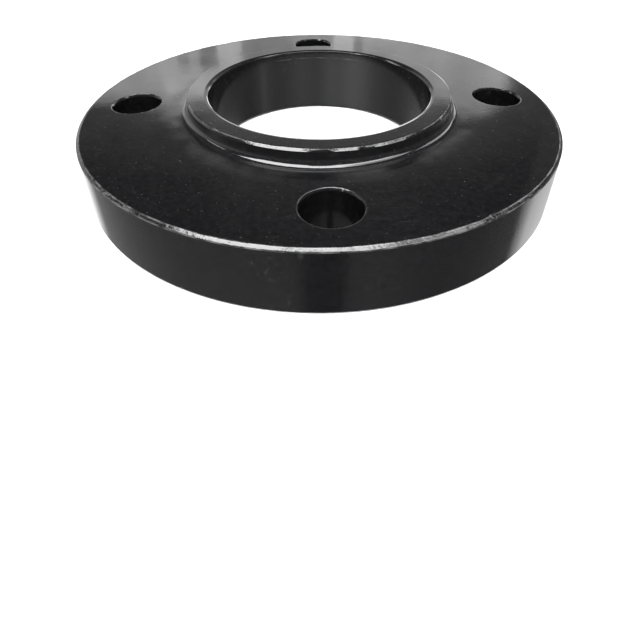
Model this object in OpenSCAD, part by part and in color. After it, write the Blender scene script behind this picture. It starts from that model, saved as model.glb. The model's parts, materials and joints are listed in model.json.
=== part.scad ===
// Slip-on pipe flange with a flat sealing face, turned in one piece.
// The sealing face lies on z = 0, the bore runs along Z and the hub points up.

/* [Bolt holes] */
// Diameter of the circle through the bolt holes' centres
bolt_circle_d = 152.4; // [142:0.1:300]
// Number of bolt holes
bolt_count = 4; // [4, 8, 12]
// Diameter of each bolt hole
bolt_hole_d = 19.05; // [10:0.05:22]
// Bevel at both ends of each bolt hole
bolt_hole_bevel = 0.95; // [0.2:0.05:1.5]

/* [Disc] */
// Metal left between a bolt hole and the rim
rim_land = 9.525; // [5:0.025:40]
// Thickness of the disc
disc_t = 23.9; // [14:0.1:40]
// Bevel round the rim's edge on the hub side
rim_bevel = 0.9; // [0.2:0.1:3]
// Edge break round the rim's edge on the sealing face
face_edge_break = 0.6; // [0.2:0.1:3]

/* [Hub] */
// Outside diameter of the hub
hub_d = 108; // [100:0.5:122]
// Height that the hub stands above the disc
hub_rise = 6.3; // [4.5:0.1:20]
// Radius of the hollow fillet where the hub meets the disc
hub_fillet = 3; // [0.5:0.1:3.5]
// Bevel round the hub's outer corner
hub_bevel = 0.7; // [0.2:0.1:1]

/* [Bore] */
// Diameter of the bore that slips over the pipe
bore_d = 90.7; // [60:0.1:98]
// Width of the lead-in at the hub end, measured across the bore wall
lead_in_w = 1.7; // [0.3:0.1:4]
// Depth of the lead-in along the bore
lead_in_h = 3.3; // [0.5:0.1:8]
// Bevel of the bore at the sealing face
bore_bevel = 1.2; // [0.2:0.1:3]

/* [Hidden] */

$fn = 128;

bolt_circle_r = bolt_circle_d / 2;
bolt_hole_r = bolt_hole_d / 2;
disc_r = bolt_circle_r + bolt_hole_r + rim_land;
hub_r = hub_d / 2;
hub_end = disc_t + hub_rise;
bore_r = bore_d / 2;

// How far a cutting tool runs past the face that it cuts
overrun = 1;
// How far the fillet's metal reaches into the disc and the hub that it joins
overlap = 1;

// Turned section from the bore out to the rim, with a sharp corner at the hub's foot
module turned_outline() {
    polygon([
        [bore_r + bore_bevel, 0],
        [disc_r - face_edge_break, 0],
        [disc_r, face_edge_break],
        [disc_r, disc_t - rim_bevel],
        [disc_r - rim_bevel, disc_t],
        [hub_r, disc_t],
        [hub_r, hub_end - hub_bevel],
        [hub_r - hub_bevel, hub_end],
        [bore_r + lead_in_w, hub_end],
        [bore_r, hub_end - lead_in_h],
        [bore_r, bore_bevel]
    ]);
}

// Metal that fills the corner between hub and disc up to the fillet's hollow arc
module fillet_outline() {
    difference() {
        translate([hub_r - overlap, disc_t - overlap])
            square(hub_fillet + overlap);
        translate([hub_r + hub_fillet, disc_t + hub_fillet])
            circle(r = hub_fillet);
    }
}

// Disc, hub and bore in one turning
module turned_body() {
    rotate_extrude() {
        turned_outline();
        fillet_outline();
    }
}

// Drill for one bolt hole, with the cone that bevels each end
module bolt_hole_cutter() {
    cone_r = bolt_hole_r + bolt_hole_bevel + overrun;
    cone_h = bolt_hole_bevel + overrun;
    translate([0, 0, -overrun])
        cylinder(r = bolt_hole_r, h = disc_t + 2 * overrun);
    translate([0, 0, -overrun])
        cylinder(r1 = cone_r, r2 = bolt_hole_r, h = cone_h);
    translate([0, 0, disc_t - bolt_hole_bevel])
        cylinder(r1 = bolt_hole_r, r2 = cone_r, h = cone_h);
}

// The bolt holes stand evenly round the circle, the first of them on +X
module flange() {
    color([0.09, 0.09, 0.10])
        difference() {
            turned_body();
            for (i = [0 : bolt_count - 1])
                rotate([0, 0, i * 360 / bolt_count])
                    translate([bolt_circle_r, 0, 0])
                        bolt_hole_cutter();
        }
}

flange();
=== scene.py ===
# %% [markdown]
# A slip-on flange in black lacquer
# The flange is one piece of forged steel, turned on a lathe, drilled and dipped in gloss black lacquer.
# The CAD model gives its true size and place. This lesson dresses it: a finer turned mesh, real tool marks
# and nicks, the lacquer, and a white studio like the one that the picture was taken in.

# %% Load the CAD frame
import json
import math

import bpy
import numpy as np
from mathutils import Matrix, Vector

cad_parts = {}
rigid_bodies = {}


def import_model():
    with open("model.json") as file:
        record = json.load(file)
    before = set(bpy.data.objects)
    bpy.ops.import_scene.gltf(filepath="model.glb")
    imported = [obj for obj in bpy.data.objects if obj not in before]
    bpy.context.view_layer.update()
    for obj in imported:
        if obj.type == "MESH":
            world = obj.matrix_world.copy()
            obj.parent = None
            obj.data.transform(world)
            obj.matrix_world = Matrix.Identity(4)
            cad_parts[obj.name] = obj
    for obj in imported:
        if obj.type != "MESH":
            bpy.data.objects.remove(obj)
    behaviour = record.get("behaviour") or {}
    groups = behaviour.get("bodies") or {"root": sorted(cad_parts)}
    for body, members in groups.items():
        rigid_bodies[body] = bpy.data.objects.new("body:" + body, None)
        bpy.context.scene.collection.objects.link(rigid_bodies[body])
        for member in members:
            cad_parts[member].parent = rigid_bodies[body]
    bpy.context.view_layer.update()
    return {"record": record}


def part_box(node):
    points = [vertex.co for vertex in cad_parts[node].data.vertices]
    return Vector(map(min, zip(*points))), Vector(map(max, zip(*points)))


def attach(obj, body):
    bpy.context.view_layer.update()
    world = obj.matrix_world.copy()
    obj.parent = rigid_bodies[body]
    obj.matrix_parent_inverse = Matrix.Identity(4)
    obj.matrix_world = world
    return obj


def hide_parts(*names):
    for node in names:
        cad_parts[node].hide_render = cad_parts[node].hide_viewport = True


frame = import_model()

mm = 0.001

# %% [markdown]
# The camera
# A camera could be placed by eye, but here its place was worked out from the round edges in the picture:
# each edge is a circle of known size, so the shape of its ellipse says where the eye stands. The eye is
# close, little more than one flange width from the middle, which is why the front looks so much larger
# than the back. The flange fills only the upper half of the picture, so the lens is shifted down instead
# of tilting the camera, as an architect's camera does. A tilt would change the ellipses.

# %% Camera at the picture's angle
eye = Vector((-8.6, -187.6, 106.3)) * mm
aim = Vector((-2.0, -48.4, 15.0)) * mm
lens_mm = 26.84
sensor_mm = 36
lens_shift = -0.2188
nearest = 10 * mm

camera = bpy.data.objects.new("camera", bpy.data.cameras.new("camera"))
camera.location = eye
camera.rotation_euler = (aim - eye).to_track_quat("-Z", "Y").to_euler()
camera.data.lens = lens_mm
camera.data.sensor_width = sensor_mm
camera.data.shift_y = lens_shift
camera.data.clip_start = nearest
bpy.context.scene.collection.objects.link(camera)
bpy.context.scene.camera = camera
print("eye to aim:", round((aim - eye).length / mm, 1), "mm")

# %% [markdown]
# Sizes of the turned section
# The bore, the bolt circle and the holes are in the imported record, and the CAD box gives the rim and the
# height of the hub. Only the sizes that the record doesn't hold are written here, in millimetres. The fine
# ones at the edges were fitted to the lines of light that run along them.

# %% Sizes from the frame
mounts = {mount["name"]: mount["dims"] for mount in frame["record"]["mounts"]}
bore_r = mounts["bore"]["r_mm"]
bolt_circle_r = mounts["bolts"]["pcd_mm"] / 2
bolt_hole_r = mounts["bolts"]["hole_r_mm"]
bolt_count = mounts["bolts"]["count"]
box_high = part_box("flange")[1]
disc_r = box_high.x / mm
hub_end = box_high.z / mm
print("rim", round(disc_r, 2), "bore", bore_r, "bolt circle", bolt_circle_r, "hub end", round(hub_end, 2))

# %% Sizes in millimetres
disc_t = 23.9
rim_bevel_w = 1.1
rim_bevel_h = 0.72
face_edge_break = 0.6
hub_r = 54.0
hub_fillet = 3.0
hub_bevel_w = 0.6
hub_bevel_h = 0.7
hub_roll_w = 0.35
hub_roll_h = 0.1
mouth_roll_w = 0.8
mouth_roll_h = 0.2
bore_mouth_w = 0.42
bore_mouth_h = 0.13
lead_in_w = 0.45
lead_in_h = 0.81
bore_bevel = 1.2

rim_edge_r = disc_r - rim_bevel_w
rim_edge_z = disc_t - rim_bevel_h
hub_edge_r = hub_r - hub_bevel_w
hub_edge_z = hub_end - hub_roll_h
lead_in_r = bore_r + lead_in_w
mouth_edge_r = lead_in_r + bore_mouth_w
mouth_edge_z = hub_end - mouth_roll_h
lead_in_z = mouth_edge_z - bore_mouth_h
print("disc", disc_t, "hub", hub_r, "mouth of the bore", round(mouth_edge_r + mouth_roll_w, 2))

# %% [markdown]
# The section, corner by corner
# A lathe makes the whole body by turning one section about the bore's axis, so the mesh is made the same
# way. The section is a short list of corners. Each corner becomes a small arc, because a real edge is never
# perfectly sharp and a tiny round edge is what catches the light. The hollow at the hub's foot is only a
# corner with a larger arc. A Bevel modifier could round the edges too, but the arcs are exact and cheap.

# %% Corners of the section
# Each corner has a name, its distance from the axis, its height and the radius of its arc
corners = [
    ("bore_foot", bore_r, bore_bevel, 0.2),
    ("face_inside", bore_r + bore_bevel, 0.0, 0.2),
    ("face_outside", disc_r - face_edge_break, 0.0, 0.2),
    ("rim_foot", disc_r, face_edge_break, 0.25),
    ("rim_shoulder", disc_r, rim_edge_z, 0.7),
    ("top_edge", rim_edge_r, disc_t, 0.5),
    ("hub_foot", hub_r, disc_t, hub_fillet),
    ("hub_shoulder", hub_r, hub_edge_z - hub_bevel_h, 0.15),
    ("hub_top", hub_edge_r, hub_edge_z, 0.2),
    ("hub_roll", hub_edge_r - hub_roll_w, hub_end, 0.05),
    ("mouth_roll", mouth_edge_r + mouth_roll_w, hub_end, 0.5),
    ("bore_mouth", mouth_edge_r, mouth_edge_z, 0.3),
    ("lead_in_mouth", lead_in_r, lead_in_z, 0.2),
    ("lead_in_foot", bore_r, lead_in_z - lead_in_h, 0.4),
]
degrees_per_arc_step = 12


def corner_arc(before, corner, after, radius):
    """Points of the arc that rounds one corner of the section."""
    to_before = (before - corner) / np.linalg.norm(before - corner)
    to_after = (after - corner) / np.linalg.norm(after - corner)
    half_angle = math.acos(np.clip(to_before @ to_after, -1, 1)) / 2
    inward = (to_before + to_after) / np.linalg.norm(to_before + to_after)
    centre = corner + inward * radius / math.sin(half_angle)
    start = corner + to_before * radius / math.tan(half_angle) - centre
    end = corner + to_after * radius / math.tan(half_angle) - centre
    start_angle = math.atan2(start[1], start[0])
    sweep = (math.atan2(end[1], end[0]) - start_angle + math.pi) % (2 * math.pi) - math.pi
    steps = max(2, round(abs(math.degrees(sweep)) / degrees_per_arc_step))
    angles = start_angle + np.linspace(0, sweep, steps + 1)
    return [centre + radius * np.array([math.cos(a), math.sin(a)]) for a in angles]


places = [np.array(corner[1:3]) for corner in corners]
arcs = [corner_arc(places[i - 1], places[i], places[(i + 1) % len(corners)], corners[i][3])
        for i in range(len(corners))]
print("section:", len(corners), "corners,", sum(len(arc) for arc in arcs), "rings in their arcs")

# %% [markdown]
# Tool marks between the corners
# The sealing face is cut with fine grooves that a gasket bites into, about one every 0.85 mm. A lathe cuts
# them as one long spiral, but at this pitch separate rings look the same. They are real geometry here, so
# they also show from below. The upper face, the rim and the bore were turned
# smooth. What is left there is a slow wave of a few thousandths of a millimetre, far too shallow to see,
# but enough to make a reflection's edge tremble.

# %% Rings along the straight runs
draw = np.random.default_rng(7)
groove_pitch = 0.85
groove_depth = 0.045
wave_length = 4.0
wave_depth = 0.004


def groove_rings(start, end):
    """Rings that run down into each groove of the sealing face and up again."""
    count = round(np.linalg.norm(end - start) / groove_pitch)
    rings = []
    for i in range(2 * count - 1):
        ring = start + (end - start) * (i + 1) / (2 * count)
        ring[1] += groove_depth if i % 2 == 0 else 0.0
        rings.append(ring)
    return rings


def wave_rings(start, end):
    """Rings a wave apart, each sunk by up to a few thousandths of a millimetre."""
    along = (end - start) / np.linalg.norm(end - start)
    outward = np.array([along[1], -along[0]])
    count = round(np.linalg.norm(end - start) / wave_length)
    return [start + (end - start) * (i + 1) / (count + 1) + outward * draw.uniform(-1, 0) * wave_depth
            for i in range(count)]


# %% Join arcs and runs
runs = {
    "face_inside": groove_rings,
    "rim_foot": wave_rings,
    "top_edge": wave_rings,
    "lead_in_foot": wave_rings,
}
section = []
ring_names = []
for i, corner in enumerate(corners):
    section += arcs[i]
    ring_names += [corner[0]] * len(arcs[i])
    if corner[0] in runs:
        between = runs[corner[0]](arcs[i][-1], arcs[(i + 1) % len(corners)][0])
        section += between
        ring_names += [corner[0] + "_run"] * len(between)
section = np.array(section)
ring_names = np.array(ring_names)
grooved = int((ring_names == "face_inside_run").sum())
print("section:", len(section), "rings, of them", grooved, "in the grooves")

# %% [markdown]
# Ragged edges
# The bevels round the rim and the hub were broken by hand and then knocked about in a heap of other flanges,
# so their highlights are broken lines, not clean ones. Each of the two edges of a bevel wanders a little,
# and a few deeper nicks are set where the picture shows them. The bore's mouth is worn down a little at its
# front and sides. The wander is a row of seeded random numbers, smoothed round the circle, so it has no seam
# and is the same on each run. A Displace modifier could do it too, but it needs a vertex group per edge.

# %% Wear round a circle
turn_steps = 480


def bell(away):
    """A smooth hump: 1 in the middle, and almost nothing three units away."""
    return np.exp(-0.5 * away ** 2)


def wander(count, radius, wave):
    """Seeded random wander round a circle, from 0 to 1, with waves about so many millimetres long."""
    spread = max(1.0, wave / (2 * math.pi * radius / count))
    kernel = bell((np.arange(count) - count // 2) / spread)
    row = np.fft.irfft(np.fft.rfft(draw.normal(size=count)) * np.fft.rfft(np.fft.ifftshift(kernel)), count)
    return (row - row.min()) / (row.max() - row.min())


def nicks(count, radius, places_deg, width, depth):
    """Dents so many millimetres wide and deep at the given places round a circle."""
    turn = np.linspace(0, 2 * math.pi, count, endpoint=False)
    row = np.zeros(count)
    for place in places_deg:
        away = (turn - math.radians(place) + math.pi) % (2 * math.pi) - math.pi
        row += depth * bell(away * radius / (width / 2))
    return row


def rubs(radius, spans_deg, soft):
    """From 0 to 1: worn stretches between pairs of places, with ends so many millimetres soft."""
    degrees = (np.linspace(0, 360, turn_steps, endpoint=False) + 180) % 360 - 180
    soft_deg = math.degrees(soft / radius)
    row = np.zeros(turn_steps)
    for start, end in spans_deg:
        rise = np.clip((degrees - start) / soft_deg + 0.5, 0, 1)
        fall = np.clip((end - degrees) / soft_deg + 0.5, 0, 1)
        row = np.maximum(row, rise * fall)
    return row


# %% Nicks and rubs
# Places round the flange are in degrees from +X, so the front is at -90
rim_nick_places = [-86.6, -85.0, -83.4, -72, -66, -61.5, 20, 75, 131, 158]
rim_nicks = nicks(turn_steps, disc_r, rim_nick_places, width=1.6, depth=0.22)
hub_nicks = nicks(turn_steps, hub_r, [-113, -105, -80, -71, 60, 110], width=1.4, depth=0.15)
rim_rubs = rubs(disc_r, [(-88, -56), (15, 50), (100, 140)], soft=12.0)
hub_rubs = rubs(hub_r, [(-120, -97), (-86, -81), (-67, -60), (-40, -25), (70, 118)], soft=6.0)
mouth_rubs = rubs(bore_r, [(-200, -2), (174, 200)], soft=5.0)
print("nicks:", len(rim_nick_places), "round the rim, deepest", round(rim_nicks.max(), 2), "mm")

# %% Wear on each edge
shoulder_wander = 0.10
shoulder_nick_part = 0.5
rim_wear_least, rim_wear_more = 0.25, 0.35
hub_wander = 0.12
hub_wear_least, hub_wear_more = 0.05, 0.45
mouth_wear_depth = 0.17

rim_wear = rim_wear_least + rim_wear_more * rim_rubs
shoulder_wear = shoulder_wander * wander(turn_steps, disc_r, wave=3.0) + shoulder_nick_part * rim_nicks
top_wear = rim_wear * wander(turn_steps, disc_r, wave=1.4) ** 2 + rim_nicks
hub_side_wear = hub_wander * wander(turn_steps, hub_r, wave=2.0)
hub_wear = hub_wear_least + hub_wear_more * wander(turn_steps, hub_r, wave=0.8)
hub_top_wear = hub_rubs * hub_wear + hub_nicks
mouth_wear = mouth_wear_depth * mouth_rubs

radii = np.repeat(section[:, :1], turn_steps, axis=1)
heights = np.repeat(section[:, 1:], turn_steps, axis=1)
for name, down, inward in (
    ("rim_shoulder", shoulder_wear, 0.0),
    ("top_edge", 0.0, top_wear),
    ("hub_shoulder", hub_side_wear, 0.0),
    ("hub_top", 0.0, hub_top_wear),
    ("hub_roll", 0.0, hub_top_wear),
    ("lead_in_mouth", mouth_wear, 0.0),
):
    heights[ring_names == name] -= down
    radii[ring_names == name] -= inward
print("deepest wear: rim", round(top_wear.max(), 2), "hub", round(hub_top_wear.max(), 2), "mm")

# %% [markdown]
# Turning the blank
# Blender's Screw modifier can turn a profile, but it can't wear each ring by its own amount. So the rings
# are laid out as arrays, one row for each ring and one column for each step round the axis, and quads join
# each row to the next. The same function later makes the drills, which are closed by flat ends instead of
# running back into themselves.

# %% Turn the section into a mesh
def turned_mesh(name, radii, heights, closed):
    """Mesh of a section turned about Z, from arrays of one row for each ring, in millimetres."""
    rings, steps = radii.shape
    around = np.linspace(0, 2 * math.pi, steps, endpoint=False)
    points = np.stack([radii * np.cos(around), radii * np.sin(around), heights], axis=2) * mm
    ring = np.arange(rings if closed else rings - 1)[:, None]
    step = np.arange(steps)[None, :]
    next_ring = (ring + 1) % rings * steps
    next_step = (step + 1) % steps
    quads = np.stack([ring * steps + step, ring * steps + next_step,
                      next_ring + next_step, next_ring + step], axis=2).reshape(-1, 4).tolist()
    if not closed:
        quads.append(list(range(steps))[::-1])
        quads.append(list(range((rings - 1) * steps, rings * steps)))
    mesh = bpy.data.meshes.new(name)
    mesh.from_pydata(points.reshape(-1, 3).tolist(), [], quads)
    return mesh


flange = bpy.data.objects.new("turned_flange", turned_mesh("turned_flange", radii, heights, closed=True))
bpy.context.scene.collection.objects.link(flange)
print("turned blank:", len(flange.data.polygons), "faces")

# %% [markdown]
# Black lacquer
# The lacquer is a thin gloss coat of black over turned steel. Nearly all of its look is in how it mirrors
# the studio, so the base is almost black and the work goes into the gloss and the small marks on it. A
# painted image could carry the marks, but nodes keep them sharp at any size. They are worked out from
# object coordinates in millimetres, so they keep their size on the part. First come a few short helpers.

# %% Node helpers
def blank_material(name):
    """A new node material with nothing in it."""
    material = bpy.data.materials.new(name)
    material.use_nodes = True
    material.node_tree.nodes.clear()
    return material


def add_node(tree, kind, inputs=(), **settings):
    """Adds a shader node, sets it up and links or fills its inputs."""
    made = tree.nodes.new("ShaderNode" + kind)
    for name, value in settings.items():
        setattr(made, name, value)
    for key, value in dict(inputs).items():
        if isinstance(value, bpy.types.NodeSocket):
            tree.links.new(value, made.inputs[key])
        else:
            made.inputs[key].default_value = value
    return made


def ramp(tree, value, low, high, to_low=0.0, to_high=1.0):
    """A value mapped from one range to another and held at the ends."""
    return add_node(tree, "MapRange", {0: value, 1: low, 2: high, 3: to_low, 4: to_high}).outputs[0]


def combine(tree, operation, first, second):
    """Two values put together by one of the Math node's operations."""
    return add_node(tree, "Math", {0: first, 1: second}, operation=operation).outputs[0]


def times(tree, first, *others):
    """The product of several values."""
    for other in others:
        first = combine(tree, "MULTIPLY", first, other)
    return first


def strongest(tree, first, *others):
    """The largest of several values."""
    for other in others:
        first = combine(tree, "MAXIMUM", first, other)
    return first


# %% Places, noise and tones
def vector_math(tree, operation, inputs):
    """The vector that a Vector Math node makes."""
    return add_node(tree, "VectorMath", inputs, operation=operation).outputs["Vector"]


def place_in_mm(tree):
    """Object coordinates in millimetres."""
    place = add_node(tree, "TexCoord").outputs["Object"]
    return vector_math(tree, "SCALE", {0: place, "Scale": 1 / mm})


def split(tree, vector):
    """The X, Y and Z of a vector."""
    return add_node(tree, "SeparateXYZ", {0: vector}).outputs


def length(tree, vector):
    """How long a vector is."""
    return add_node(tree, "VectorMath", {0: vector}, operation="LENGTH").outputs["Value"]


def noise(tree, place, scale, detail):
    """Cloudy noise from 0 to 1, with about so many clouds to one unit of the place."""
    return add_node(tree, "TexNoise", {"Vector": place, "Scale": scale, "Detail": detail}).outputs["Fac"]


def mix_colour(tree, part, first, second):
    """A blend of two colours."""
    return add_node(tree, "Mix", {0: part, 6: first, 7: second}, data_type="RGBA").outputs[2]


def grey(tone, blue=1.0):
    """A grey, with its blue made a little stronger where that is wanted."""
    return (tone, tone, tone * blue, 1)


# %% [markdown]
# Marks of handling
# Faint arcs run round the axis where the coat was wiped, and a few long scratches lie across them. Both are
# noise that is drawn out in one direction: stretching the coordinates is much simpler than drawing each
# scratch. They show only in patches, because nothing is handled evenly.

# %% Arcs and scratches
arc_reach = 2.5
arc_scale = 0.9
arc_strength = 0.08
scratch_angle_deg = -38
scratch_stretch = (0.12, 3.0, 0.3)
scratch_strength = 0.6


def arc_marks(tree, flat, radius):
    """From 0 to 1: short arcs a millimetre wide round the axis, with no seam."""
    around = vector_math(tree, "NORMALIZE", {0: flat})
    turned = vector_math(tree, "SCALE", {0: around, "Scale": arc_reach})
    outward = add_node(tree, "CombineXYZ", {2: radius}).outputs[0]
    place = vector_math(tree, "ADD", {0: turned, 1: outward})
    return ramp(tree, noise(tree, place, arc_scale, 2), 0.60, 0.72)


def scratch_marks(tree, in_mm):
    """A few long scratches along one slanting direction."""
    slant = (0, 0, math.radians(scratch_angle_deg))
    slanted = add_node(tree, "Mapping", {"Vector": in_mm, "Rotation": slant, "Scale": scratch_stretch})
    lines = noise(tree, slanted.outputs["Vector"], 1.0, 0)
    return ramp(tree, lines, 0.72, 0.90, 0.0, scratch_strength)


def handling_marks(tree, in_mm, flat, radius, smudges):
    """From 0 to 1: the arcs and scratches, in the patches that were handled."""
    handled = times(tree, arc_marks(tree, flat, radius), ramp(tree, smudges, 0.45, 0.55))
    scratches = times(tree, scratch_marks(tree, in_mm), ramp(tree, smudges, 0.50, 0.56))
    return strongest(tree, times(tree, handled, arc_strength), scratches)


# %% [markdown]
# Dust
# Fine specks of dust lie on the upper faces, fainter ones cling to the upright walls, and a thin ring of
# dust has settled round the hub's foot, where a cloth doesn't reach. Grains could be scattered as particles,
# but at this size a speck is only a paler, duller dot in the coat.

# %% Specks and settled dust
speck_scale = 1.3
dust_on_walls = 0.3
settled_strength = 0.6
dust_ring_start = hub_r + hub_fillet
dust_ring_peak = dust_ring_start + 2.5
dust_ring_end = dust_ring_start + 9.0


def dust_specks(tree, in_mm, height):
    """From 0 to 1: fine specks, fainter on the walls."""
    lying = ramp(tree, height, disc_t - 1.0, disc_t - 0.5, dust_on_walls, 1.0)
    return times(tree, ramp(tree, noise(tree, in_mm, speck_scale, 1), 0.70, 0.77), lying)


def settled_dust(tree, radius, height, smudges):
    """From 0 to 1: dust that lies on the upper face round the hub's foot."""
    inner = ramp(tree, radius, dust_ring_start, dust_ring_peak)
    outer = ramp(tree, radius, dust_ring_peak, dust_ring_end, 1.0, 0.0)
    on_top = ramp(tree, height, disc_t - 0.3, disc_t - 0.2)
    return times(tree, inner, outer, on_top, ramp(tree, smudges, 0.42, 0.62), settled_strength)


# %% [markdown]
# Bare edges, and a painted highlight on the hub's front
# Handling wears lacquer thin along the edges, where paler steel shows through as a thin broken line. Along
# the front of the hub's corner the paler line is also a painted highlight, for the line of light that falls
# there.
# In the section an edge is only a point, so its line is made of the places that lie close to that point. The
# edges of the bolt holes are found in the same way about the holes' own axes. The Geometry node's Pointiness
# finds edges too, but it can't tell one edge from another.

# %% Lines along the edges
hole_mouth_w = 0.6
bore_line_depth = 3.6
line_core, line_end = 0.15, 0.35
rim_line = 0.7
# The hub's paler line is worn steel and a painted highlight, and it is kept to the hub's front
hub_wear_and_highlight = 0.6
bore_line = 0.5
hole_line = 0.25
patch_scale = 0.22
front_start, front_end = 5, -15
back_start, back_end = 37, 43


def section_distance(tree, across, up, edge_across, edge_up):
    """Distance in the section from an edge, in millimetres."""
    side = combine(tree, "SUBTRACT", across, edge_across)
    rise = combine(tree, "SUBTRACT", up, edge_up)
    return length(tree, add_node(tree, "CombineXYZ", {0: side, 1: rise}).outputs[0])


def hole_distance(tree, in_mm):
    """Distance from the nearest bolt hole's axis. Folding the quarters together leaves one hole."""
    folded = split(tree, vector_math(tree, "ABSOLUTE", {0: in_mm}))
    outer = combine(tree, "MAXIMUM", folded["X"], folded["Y"])
    inner = combine(tree, "MINIMUM", folded["X"], folded["Y"])
    return section_distance(tree, outer, inner, bolt_circle_r, 0.0)


def worn_and_highlit_edges(tree, in_mm, radius, height):
    """From 0 to 1: thin broken lines along the edges where handling has worn the lacquer thin, and a painted
    highlight along the hub's front corner.
    """
    hole = hole_distance(tree, in_mm)
    y = split(tree, in_mm)["Y"]
    edges = [
        (radius, disc_r, rim_edge_z, rim_line),
        (radius, rim_edge_r, disc_t, rim_line),
        # Painted highlight: the hub's paler line shows only at the front, where the light falls along that
        # corner
        (radius, hub_edge_r, hub_edge_z, ramp(tree, y, front_end, front_start, hub_wear_and_highlight, 0.0)),
        (radius, bore_r, hub_end - bore_line_depth, ramp(tree, y, back_start, back_end, 0.0, bore_line)),
        (hole, bolt_hole_r + hole_mouth_w, disc_t, hole_line),
    ]
    lines = []
    for across, edge_r, edge_z, strength in edges:
        away = section_distance(tree, across, height, edge_r, edge_z)
        lines.append(ramp(tree, away, line_core, line_end, strength, 0.0))
    patches = ramp(tree, noise(tree, in_mm, patch_scale, 4), 0.42, 0.62, 0.1, 1.0)
    return times(tree, strongest(tree, *lines), patches)


# %% [markdown]
# Small bumps in the coat
# Four things bend the reflections a little. The coat sways over some centimetres, the tool left fine rings
# under it, it dried with a slight orange peel, and the bevels of the rim and of the hub's front are knocked
# rough. All of them are too shallow or too fine for the mesh, so they are Bump nodes, each laid over the
# one before.

# %% Bumps
sway_scale, sway_depth, sway_strength = 0.06, 0.07, 1.0
ring_scale, ring_depth, ring_strength = 1.7, 0.02, 0.08
peel_scale, peel_depth, peel_strength = 0.7, 0.05, 0.2
knock_scale, knock_depth, knock_strength = 0.9, 0.25, 0.55


def worn_edges(tree, in_mm, radius, height):
    """From 0 to 1: the bevels round the rim and the hub's front, which are knocked about most."""
    at_rim = ramp(tree, radius, disc_r - 1.7, disc_r - 1.3)
    on_rim = times(tree, at_rim, ramp(tree, height, disc_t - 1.0, disc_t - 0.7))
    at_hub = ramp(tree, radius, hub_r - 1.1, hub_r - 0.8)
    within_hub = ramp(tree, radius, hub_r + 0.3, hub_r + 0.5, 1.0, 0.0)
    in_front = ramp(tree, split(tree, in_mm)["Y"], front_end, front_start, 1.0, 0.0)
    on_hub = times(tree, at_hub, ramp(tree, height, hub_end - 0.7, hub_end - 0.5), within_hub, in_front)
    return strongest(tree, on_rim, on_hub)


def bump(tree, height, strength, depth, below=None):
    """The normal bent by a bump so many millimetres deep, laid over the bumps below it."""
    made = add_node(tree, "Bump", {"Strength": strength, "Distance": depth * mm, "Height": height})
    if below is not None:
        tree.links.new(below, made.inputs["Normal"])
    return made.outputs["Normal"]


def coat_normal(tree, in_mm, radius, height):
    """The normal of the coat, with its sway, turning rings, orange peel and knocked bevels."""
    rings = add_node(tree, "TexNoise", {"W": radius, "Scale": ring_scale, "Detail": 3},
                     noise_dimensions="1D").outputs["Fac"]
    knocked = times(tree, worn_edges(tree, in_mm, radius, height), knock_strength)
    swayed = bump(tree, noise(tree, in_mm, sway_scale, 1), sway_strength, sway_depth)
    turned = bump(tree, rings, ring_strength, ring_depth, swayed)
    peeled = bump(tree, noise(tree, in_mm, peel_scale, 2), peel_strength, peel_depth, turned)
    return bump(tree, noise(tree, in_mm, knock_scale, 3), knocked, knock_depth, peeled)


# %% [markdown]
# The finished lacquer
# Everything comes together in one Principled shader: a mottled black base, paler where dust, scratches or
# bare edges lie and along a painted highlight on the hub's front corner, and a roughness that drifts with
# smudges. Marks and the hub's upright side are duller. The bore was cut coarser than the faces, so its coat
# is the same lacquer with less gloss.

# %% Lacquer material
smudge_scale = 0.045
mottle_scale = 0.6
blue_tint = 1.1
soil_tone = 0.032
# Tone of the worn edges, which is also the tone of the painted highlight along the hub's front corner
worn_and_highlit_tone = 0.12
coat_ior = 1.5
dullness = 0.2


def hub_side(tree, radius, height):
    """From 0 to 1: the upright side of the hub, which is duller than the faces."""
    above_fillet = ramp(tree, height, disc_t + 1.2, disc_t + 2.2)
    below_corner = ramp(tree, height, hub_end - 1.0, hub_end - 0.8, 1.0, 0.0)
    outside = ramp(tree, radius, hub_r - 0.3, hub_r - 0.2)
    inside = ramp(tree, radius, hub_r + 0.8, hub_r + 1.0, 1.0, 0.0)
    return times(tree, above_fillet, below_corner, outside, inside)


def black_lacquer(name, gloss_low, gloss_high, palest):
    """Gloss black coat whose roughness drifts between two levels, over a base up to the palest tone."""
    material = blank_material(name)
    tree = material.node_tree
    in_mm = place_in_mm(tree)
    flat = vector_math(tree, "MULTIPLY", {0: in_mm, 1: (1, 1, 0)})
    radius = length(tree, flat)
    height = split(tree, in_mm)["Z"]

    smudges = noise(tree, in_mm, smudge_scale, 4)
    soil = strongest(tree, handling_marks(tree, in_mm, flat, radius, smudges),
                     settled_dust(tree, radius, height, smudges), dust_specks(tree, in_mm, height))
    # Worn edges, and the painted highlight along the hub's front corner
    worn_and_highlit = worn_and_highlit_edges(tree, in_mm, radius, height)

    mottle = ramp(tree, noise(tree, in_mm, mottle_scale, 4), 0.3, 0.7)
    base = mix_colour(tree, mottle, grey(palest / 2, blue_tint), grey(palest, blue_tint))
    soiled = mix_colour(tree, soil, base, grey(soil_tone))
    colour = mix_colour(tree, worn_and_highlit, soiled, grey(worn_and_highlit_tone))
    gloss = ramp(tree, smudges, 0.35, 0.65, gloss_low, gloss_high)
    dull = strongest(tree, soil, worn_and_highlit, hub_side(tree, radius, height))
    rough = combine(tree, "ADD", gloss, times(tree, dull, dullness))
    normal = coat_normal(tree, in_mm, radius, height)
    shader = add_node(tree, "BsdfPrincipled", {"Base Color": colour, "Roughness": rough, "Normal": normal,
                                               "IOR": coat_ior})
    add_node(tree, "OutputMaterial", {"Surface": shader.outputs["BSDF"]})
    return material


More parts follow.
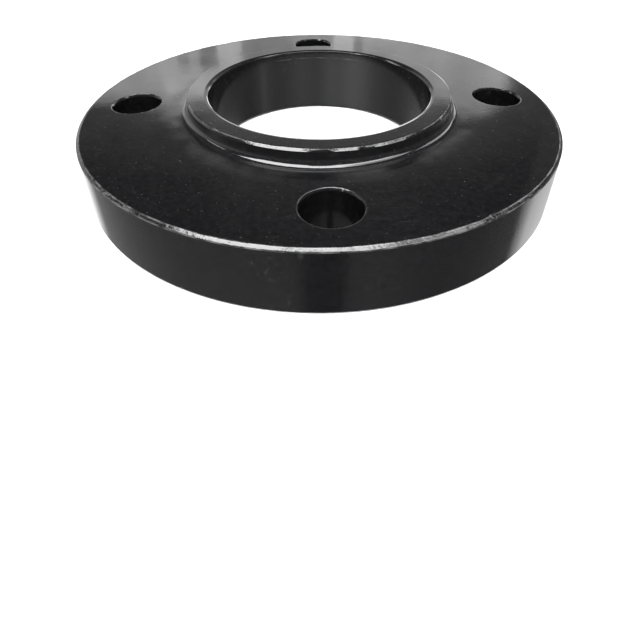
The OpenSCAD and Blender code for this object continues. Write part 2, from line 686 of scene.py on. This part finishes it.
# %% Coat the blank
turned_lacquer = black_lacquer("black_lacquer", gloss_low=0.06, gloss_high=0.11, palest=0.007)
bored_lacquer = black_lacquer("bored_lacquer", gloss_low=0.12, gloss_high=0.16, palest=0.006)
flange.data.materials.append(turned_lacquer)
flange.data.materials.append(bored_lacquer)
bored = np.isin(ring_names, ["lead_in_mouth", "lead_in_foot", "lead_in_foot_run", "bore_foot"])
flange.data.polygons.foreach_set("material_index", np.repeat(bored.astype(np.int32), turn_steps))
print("materials:", [material.name for material in flange.data.materials])

# %% [markdown]
# Drilling the bolt holes
# The holes are drilled after turning, as in the workshop: each drill is itself a turned form that flares at
# both ends, and a Boolean modifier takes all of them away at once. The flare is steep at first and rounds
# over into the face, as an edge does when it is broken with a hand tool, and it wanders a little, like a
# burr. The front hole's mouth has three small chips as well. The drill's own material stays on the walls
# that it cuts, so the holes get the duller drilled finish.

# %% Mouth of a hole
hole_mouth_h = 1.0
brink_part = 0.25
brink_deg = 10
mouth_arc_steps = 6
throat_w = 0.06
throat_h = 0.15
overrun = 1.0


def mouth_rows(mouth_round):
    """Widening and depth below the face of the rings of a hole's mouth, from above the face inwards."""
    steep = math.atan2(hole_mouth_h, hole_mouth_w)
    shallow = math.radians(brink_deg)
    brink = hole_mouth_w + brink_part * mouth_round
    step = mouth_round * (steep - shallow) / mouth_arc_steps
    rows = [(brink + overrun / math.tan(shallow), -overrun), (brink, 0.0)]
    for angle in np.linspace(shallow, steep, mouth_arc_steps):
        widening, depth = rows[-1]
        rows.append((widening - step * math.cos(angle), depth + step * math.sin(angle)))
    widening, depth = rows[-1]
    rows.append((throat_w, depth + (widening - throat_w) * math.tan(steep)))
    rows.append((0.0, rows[-1][1] + throat_h))
    return rows


# %% Drills
drill_steps = 96
burr_height = 0.1
burr_wave = 0.8
chip_width = 0.8
# One entry for each hole: right, back, left and front
mouth_rounds = [0.35, 0.35, 0.35, 0.6]
# Place round the hole, in degrees, and depth of each chip
mouth_chips = [[], [], [], [(82, 0.45), (66, 0.55), (54, 0.4)]]

drills = bpy.data.collections.new("drills")
bpy.context.scene.collection.children.link(drills)
for i in range(bolt_count):
    burr = burr_height * (wander(drill_steps, bolt_hole_r, burr_wave) - 0.5)
    for chip_deg, chip_depth in mouth_chips[i % len(mouth_chips)]:
        burr += nicks(drill_steps, bolt_hole_r, [chip_deg], chip_width, chip_depth)
    mouth = mouth_rows(mouth_rounds[i % len(mouth_rounds)])
    rows = mouth + [(widening, disc_t - depth) for widening, depth in reversed(mouth)]
    drill_radii = np.array([bolt_hole_r + row[0] + burr * min(1.0, row[0] / hole_mouth_w) for row in rows])
    drill_heights = np.repeat(np.array([[row[1]] for row in rows]), drill_steps, axis=1)
    drill_mesh = turned_mesh("drill", drill_radii, drill_heights, closed=False)
    drill_mesh.materials.append(bored_lacquer)
    drill = bpy.data.objects.new(f"drill_{i + 1}", drill_mesh)
    angle = 2 * math.pi * i / bolt_count
    drill.location = Vector((math.cos(angle), math.sin(angle), 0)) * bolt_circle_r * mm
    drills.objects.link(drill)

# %% Drill the holes
drilling = flange.modifiers.new("drilling", "BOOLEAN")
drilling.operation = "DIFFERENCE"
drilling.operand_type = "COLLECTION"
drilling.collection = drills
drilling.solver = "MANIFOLD"
drilling.material_mode = "TRANSFER"
evaluated = flange.evaluated_get(bpy.context.evaluated_depsgraph_get())
drilled_mesh = bpy.data.meshes.new_from_object(evaluated)
flange.modifiers.clear()
flange.data = drilled_mesh
for drill in list(drills.objects):
    bpy.data.objects.remove(drill)
bpy.data.collections.remove(drills)
print("drilled:", len(flange.data.polygons), "faces,", [m.name for m in flange.data.materials])

# %% [markdown]
# Smooth shading without smearing
# Smooth shading blends the normals of all faces, which would bend the reflections on the flat faces near
# each edge. A Weighted Normal modifier lets the large faces win, so flats stay flat and only the small
# arcs turn. Edges sharper than the limit, such as those of the bolt holes, stay crisp.

# %% Shading
sharp_limit_deg = 28
flange.data.shade_smooth()
flange.data.set_sharp_from_angle(angle=math.radians(sharp_limit_deg))
weighting = flange.modifiers.new("weighted_normals", "WEIGHTED_NORMAL")
weighting.keep_sharp = True

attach(flange, "root")
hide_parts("flange")
print("flange rides on root and stands for the CAD node")

# %% [markdown]
# The white studio
# A glossy black thing shows little of itself: it shows what stands round it. So the studio is built as a
# photographer would build it, from a white floor, a white tent wall that gives the pale background, and
# cards that only the gloss sees. A real studio hides such cards just outside the frame. In Blender the same
# is done by hiding them from the camera, so that they stay hidden from every side.

# %% Stage helpers
def stage_object(name, points, faces, material):
    """A piece of the stage, from points in millimetres."""
    mesh = bpy.data.meshes.new(name)
    mesh.from_pydata([Vector(point) * mm for point in points], [], faces)
    mesh.materials.append(material)
    made = bpy.data.objects.new(name, mesh)
    bpy.context.scene.collection.objects.link(made)
    return made


def stage_card(name, points, material):
    """A flat stage card with the given corners."""
    return stage_object(name, points, [list(range(len(points)))], material)


def level_corners(left, right, front, back, height):
    """Corners of a level rectangle."""
    return [(left, front, height), (right, front, height), (right, back, height), (left, back, height)]


def stage_ring(name, profile, material, steps=96):
    """A round stage wall from a list of radii and heights."""
    around = np.linspace(0, 2 * math.pi, steps, endpoint=False)
    points = [(r * math.cos(a), r * math.sin(a), z) for r, z in profile for a in around]
    faces = [(row * steps + i, row * steps + (i + 1) % steps,
              (row + 1) * steps + (i + 1) % steps, (row + 1) * steps + i)
             for row in range(len(profile) - 1) for i in range(steps)]
    return stage_object(name, points, faces, material)


# %% Floor and tent wall
floor_size = 1500
floor_gap = 0.1
floor_grain = 9.0
floor_dark, floor_pale = 0.80, 0.84
floor_roughness = 0.9
floor_shine = 0.1
tent_r = 1400
tent_top = 600
tent_glow = 1.0


def floor_paint():
    """Matt white paint with a faint grain."""
    material = blank_material("floor_paint")
    tree = material.node_tree
    place = add_node(tree, "TexCoord").outputs["Object"]
    tone = mix_colour(tree, noise(tree, place, floor_grain, 3), grey(floor_dark), grey(floor_pale))
    shader = add_node(tree, "BsdfPrincipled", {"Base Color": tone, "Roughness": floor_roughness,
                                               "Specular IOR Level": floor_shine})
    add_node(tree, "OutputMaterial", {"Surface": shader.outputs["BSDF"]})
    return material


def glow_from(tree, strength):
    """Ends a stage material in a white glow of that strength."""
    shader = add_node(tree, "Emission", {"Color": grey(1), "Strength": strength})
    add_node(tree, "OutputMaterial", {"Surface": shader.outputs["Emission"]})


def plain_glow(name, strength):
    """An even white glow."""
    material = blank_material(name)
    glow_from(material.node_tree, strength)
    return material


floor = stage_card("floor", level_corners(-floor_size, floor_size, -floor_size, floor_size, -floor_gap),
                   floor_paint())
floor.visible_glossy = False
tent_profile = [(tent_r, -floor_gap), (tent_r, tent_top)]
tent = stage_ring("tent_wall", tent_profile, plain_glow("tent_glow", tent_glow))
tent.visible_glossy = False
print("stage: floor and tent wall")

# %% [markdown]
# What the gloss sees
# Six stage pieces make the reflections that give the black form its shape: a large box of light overhead
# with a dark gap in it, pale strips behind, a bowl all round and a lamp on each side. Only reflections see
# them. An image of a room would be the usual way, but with cards each reflection can be set by itself, and
# their levels are short lists of places and brightness that a colour ramp joins.

# %% Helpers for glowing cards
def only_in_gloss(card):
    """Only reflections see the card: it lights nothing, shades nothing and stays out of the picture."""
    card.visible_camera = False
    card.visible_diffuse = False
    card.visible_shadow = False
    card.visible_transmission = False


def mix_value(tree, part, first, second):
    """A blend of two values."""
    return add_node(tree, "Mix", {0: part, 2: first, 3: second}).outputs[0]


def stepped(tree, value, stops, interpolation="LINEAR"):
    """Levels given at places along a value, joined by a colour ramp."""
    places = [place for place, level in stops]
    low, high = min(places), max(places)
    peak = max(level for place, level in stops)
    band = add_node(tree, "ValToRGB", {0: ramp(tree, value, low, high)})
    band.color_ramp.interpolation = interpolation
    while len(band.color_ramp.elements) < len(stops):
        band.color_ramp.elements.new(0.5)
    for i, (place, level) in enumerate(stops):
        band.color_ramp.elements[i].position = (place - low) / (high - low)
    for i, (place, level) in enumerate(stops):
        band.color_ramp.elements[i].color = grey(level / peak)
    return times(tree, band.outputs["Color"], peak)


# %% [markdown]
# Overhead box of light
# The box hangs above and in front. It draws the bright lines along the front of the rim's bevel, the hub's
# corner and the hub's hollow, and on the far edges of the bolt holes. Its left half is the brightest, and it
# weakens towards the right, sooner at its back than at its front. A dark card just below its front dims the
# middle of these lines.

# %% Box of light and dark gap
box_light_z = 1200
box_light_left, box_light_right = -1090, 1500
box_light_front, box_light_back = -820, -40
box_light_glow = 18.0
back_fade = [(-1090, 1.0), (200, 1.0), (290, 0.6), (400, 0.35), (600, 0.22), (900, 0.3), (1250, 0.4),
             (1500, 0.1)]
front_fade = [(-1090, 1.0), (350, 1.0), (500, 0.75), (950, 0.7), (1250, 0.5), (1500, 0.1)]
front_part_end, back_part_start = -470, -410
dark_gap_z = box_light_z - 10
dark_gap_back = -620
dark_gap_glow = 0.1


def box_light_material():
    """Weaker towards the right, sooner at the back than at the front."""
    material = blank_material("box_light_glow")
    tree = material.node_tree
    place = split(tree, place_in_mm(tree))
    x, y = place["X"], place["Y"]
    at_front = ramp(tree, y, front_part_end, back_part_start, 1.0, 0.0)
    level = mix_value(tree, at_front, stepped(tree, x, back_fade), stepped(tree, x, front_fade))
    glow_from(tree, times(tree, level, box_light_glow))
    return material


box_light_corners = level_corners(box_light_left, box_light_right, box_light_front, box_light_back,
                                  box_light_z)
only_in_gloss(stage_card("box_light", box_light_corners, box_light_material()))

dark_gap_corners = [(-200, box_light_front, dark_gap_z), (170, box_light_front, dark_gap_z),
                    (150, dark_gap_back, dark_gap_z), (-170, dark_gap_back, dark_gap_z)]
only_in_gloss(stage_card("dark_gap", dark_gap_corners, plain_glow("dark_gap_glow", dark_gap_glow)))
print("box of light:", box_light_right - box_light_left, "by", box_light_back - box_light_front, "mm")

# %% [markdown]
# Pale strips behind
# The far half of the upper face mirrors the wall behind it, where upright strips of different brightness
# stand side by side. Low down they have sharp sides, higher up they are softer, and above a wavy edge they
# fade out, which leaves the near half of the face black. Faint clouds keep them from looking printed.

# %% Strips
strip_y = 1300
strip_left, strip_right = -1000, 860
strip_foot, strip_top = 320, 1300
strip_glow = 1.5
soft_start, soft_end = 470, 500
strip_edge = 600
strip_edge_soft = 40
cloud_scale = 0.012
strip_stops = [(-1000, 1.02), (-393, 0.66), (-354, 0.95), (-320, 0.48), (-267, 1.2), (-188, 0.6),
               (-29, 0.75), (98, 1.3), (165, 0.55), (189, 0.88), (500, 0.95), (660, 1.1), (705, 0.4),
               (740, 0.2), (800, 0.12)]
upper_stops = [(-1000, 1.0), (-500, 0.92), (-452, 0.92), (-428, 1.3), (-330, 1.3), (-200, 1.2), (-150, 0.75),
               (-29, 0.78), (98, 1.1), (165, 0.75), (189, 0.88), (500, 0.93), (600, 0.93), (660, 1.15),
               (688, 1.0), (708, 0.4), (740, 0.2), (800, 0.12)]
above_stops = [(-1000, 0.3), (-650, 0.33), (-430, 0.36), (-380, 0.5), (-250, 0.85), (350, 0.85), (600, 0.4),
               (860, 0.3)]
edge_stops = [(-1000, 520), (-700, 558), (-600, 580), (-520, 592), (-450, 616), (-410, 616), (-350, 600),
              (480, 605), (540, 640), (620, 645), (700, 600), (860, 560)]
rise_stops = [(320, 0.95), (450, 1.0), (595, 1.1), (614, 0.46), (650, 0.38), (740, 0.3), (800, 0.26),
              (880, 0.15), (950, 0.11), (1100, 0.07), (1300, 0.05)]


def pale_strips_material():
    """Upright strips that soften upwards and fade out above a wavy edge."""
    material = blank_material("pale_strips_glow")
    tree = material.node_tree
    place = split(tree, place_in_mm(tree))
    x, z = place["X"], place["Z"]
    strips = stepped(tree, x, strip_stops, "CONSTANT")
    softer = mix_value(tree, ramp(tree, z, soft_start, soft_end), strips, stepped(tree, x, upper_stops))
    past_edge = combine(tree, "SUBTRACT", z, stepped(tree, x, edge_stops))
    level_z = combine(tree, "ADD", past_edge, strip_edge)
    above_edge = ramp(tree, level_z, strip_edge, strip_edge + strip_edge_soft)
    level = mix_value(tree, above_edge, softer, stepped(tree, x, above_stops))
    clouds = noise(tree, add_node(tree, "CombineXYZ", {0: x, 1: z}).outputs[0], cloud_scale, 3)
    rise = stepped(tree, level_z, rise_stops)
    glow_from(tree, times(tree, level, rise, ramp(tree, clouds, 0.35, 0.65, 0.84, 1.12), strip_glow))
    return material


strip_corners = [(strip_left, strip_y, strip_foot), (strip_right, strip_y, strip_foot),
                 (strip_right, strip_y, strip_top), (strip_left, strip_y, strip_top)]
only_in_gloss(stage_card("pale_strips", strip_corners, pale_strips_material()))
print("pale strips:", len(strip_stops), "side by side")

# %% [markdown]
# A bowl all round
# A round bowl stands for the rest of the room. It has five bands, one above the other: the lowest is what
# the rim mirrors, the next what the bore's wall mirrors, then comes a mostly dark horizon, and the two upper
# ones hold a bright stretch of wall behind the flange, which draws the line round the bore's mouth and the
# hub's ends. The bowl reaches below the floor, which reflections don't see, so that its pattern stands
# upright on the rim and on the bore's wall, as the reflection of a far room does.

# %% Levels round the bowl
# Each level has its direction in degrees from +X, so the wall behind is at 90
low_levels = [(-180, 0.32), (-160, 0.28), (-115, 0.32), (-104, 0.28), (-97, 0.06), (-83, 0.06), (-77, 0.25),
              (-66, 0.27), (-44, 0.16), (-33, 0.12), (9, 0.16), (12.5, 0.6), (21, 1.4), (34, 1.1), (43, 0.8),
              (60, 0.6), (72, 0.3), (96, 0.2), (106, 0.6), (114, 1.1), (124, 1.5), (134, 1.4), (141, 0.9),
              (146, 0.40), (180, 0.33)]
bore_levels = [(-180, 0.5), (-160, 0.8), (-145, 1.4), (-133, 1.7), (-115, 1.25), (-106, 1.3), (-90, 0.8),
               (-70, 0.95), (-52, 0.62), (-40, 0.55), (-30, 0.68), (-24, 0.95), (-18, 0.55), (-6, 0.33),
               (90, 0.25), (108, 0.36), (150, 0.48), (165, 0.45), (180, 0.5)]
horizon_levels = [(-180, 0.9), (-165, 0.6), (-145, 0.4), (-125, 0.25), (0, 0.25), (40, 0.3), (95, 0.2),
                  (118, 0.2), (134, 0.8), (150, 1.0), (180, 0.9)]
glare_levels = [(-180, 0.9), (-165, 0.6), (-145, 0.4), (-125, 0.25), (0, 0.25), (45, 0.3), (58, 0.4),
                (64, 4.0), (75, 4.5), (86, 4.8), (91, 2.4), (97, 2.4), (100, 4.5), (104, 3.5), (110, 0.5),
                (130, 0.6), (150, 1.0), (180, 0.9)]
wall_levels = [(-180, 0.9), (-140, 0.6), (-120, 0.25), (-50, 0.25), (10, 0.2), (38, 0.3), (46, 0.6),
               (50, 2.5), (62, 3.0), (66, 4.0), (87, 4.5), (91, 2.2), (97, 2.2), (100, 4.0), (103, 4.0),
               (107, 0.9), (111, 0.9), (114, 2.2), (120, 2.2), (124, 0.9), (134, 1.1), (150, 1.0),
               (180, 0.9)]
# Each band above the lowest, with the heights in degrees between which it takes over
upper_bands = [
    (bore_levels, -27.0, -26.2),
    (horizon_levels, -12, -9),
    (glare_levels, 1, 2),
    (wall_levels, 8, 9),
]
print("bands round the bowl:", 1 + len(upper_bands))

# %% Bowl
bowl_r = 2000
bowl_low_deg, bowl_high_deg, bowl_step_deg = -85, 20, 5


def direction_deg(tree, along, across):
    """Angle of a direction, in degrees."""
    angle = combine(tree, "ARCTAN2", across, along)
    return add_node(tree, "Math", {0: angle}, operation="DEGREES").outputs[0]


def bowl_material():
    """Five bands round the bowl, from what the rim mirrors up to the wall behind."""
    material = blank_material("bowl_glow")
    tree = material.node_tree
    x, y, z = split(tree, place_in_mm(tree))
    reach = length(tree, add_node(tree, "CombineXYZ", {0: x, 1: y}).outputs[0])
    around = direction_deg(tree, x, y)
    rise = direction_deg(tree, reach, z)
    level = stepped(tree, around, low_levels)
    for band_levels, start, end in upper_bands:
        level = mix_value(tree, ramp(tree, rise, start, end), level, stepped(tree, around, band_levels))
    glow_from(tree, level)
    return material


bowl_profile = [(bowl_r * math.cos(math.radians(deg)), bowl_r * math.sin(math.radians(deg)))
                for deg in range(bowl_low_deg, bowl_high_deg + 1, bowl_step_deg)]
only_in_gloss(stage_ring("bowl", bowl_profile, bowl_material()))
print("bowl:", len(bowl_profile), "rings, radius", bowl_r, "mm")

# %% [markdown]
# Lamps at the sides
# A tall lamp at the right and a thin curved one at the left draw the lines of light round the two ends of
# the hub's hollow, and carry on the bright edge of the rim there. Both are plain cards, because their
# outline alone shapes the lines.

# %% Lamps at the right and the left
side_lamp_x = 1300
right_lamp_glow = 4.0
right_lamp_outline = [(250, 800), (1300, 480), (1300, 950), (250, 1400)]
left_lamp_glow = 7.0
left_lamp_outline = [(-40, 820), (80, 640), (300, 505), (370, 575), (170, 740), (40, 920)]


def side_lamp(name, lamp_x, outline, strength):
    """An upright lamp beside the flange, from the Y and Z of its corners."""
    corners = [(lamp_x, y, z) for y, z in outline]
    only_in_gloss(stage_card(name, corners, plain_glow(name + "_glow", strength)))


side_lamp("right_lamp", side_lamp_x, right_lamp_outline, right_lamp_glow)
side_lamp("left_lamp", -side_lamp_x, left_lamp_outline, left_lamp_glow)
print("gloss stage: box light, dark gap, pale strips, bowl, right lamp, left lamp")

# %% [markdown]
# Light for the floor
# The floor is lit by one large soft lamp above and in front, hidden from reflections so that it doesn't
# show twice, and by a dim even sky. Together they turn the floor almost pure white and leave a soft shadow
# where the flange stands on it.

# %% Lamp and sky
lamp_size = 1200 * mm
lamp_power = 38
lamp_place = Vector((0, -500, 1100)) * mm
sky_level = 0.15

lamp = bpy.data.objects.new("soft_lamp", bpy.data.lights.new("soft_lamp", "AREA"))
lamp.data.shape = "DISK"
lamp.data.size = lamp_size
lamp.data.energy = lamp_power
lamp.location = lamp_place
lamp.rotation_euler = (-lamp_place).to_track_quat("-Z", "Y").to_euler()
lamp.visible_glossy = False
bpy.context.scene.collection.objects.link(lamp)

world = bpy.data.worlds.new("studio_sky")
world.use_nodes = True
background = world.node_tree.nodes["Background"]
background.inputs["Color"].default_value = grey(1)
background.inputs["Strength"].default_value = sky_level
bpy.context.scene.world = world
bpy.context.scene.view_settings.view_transform = "Standard"
print("sky level:", sky_level)
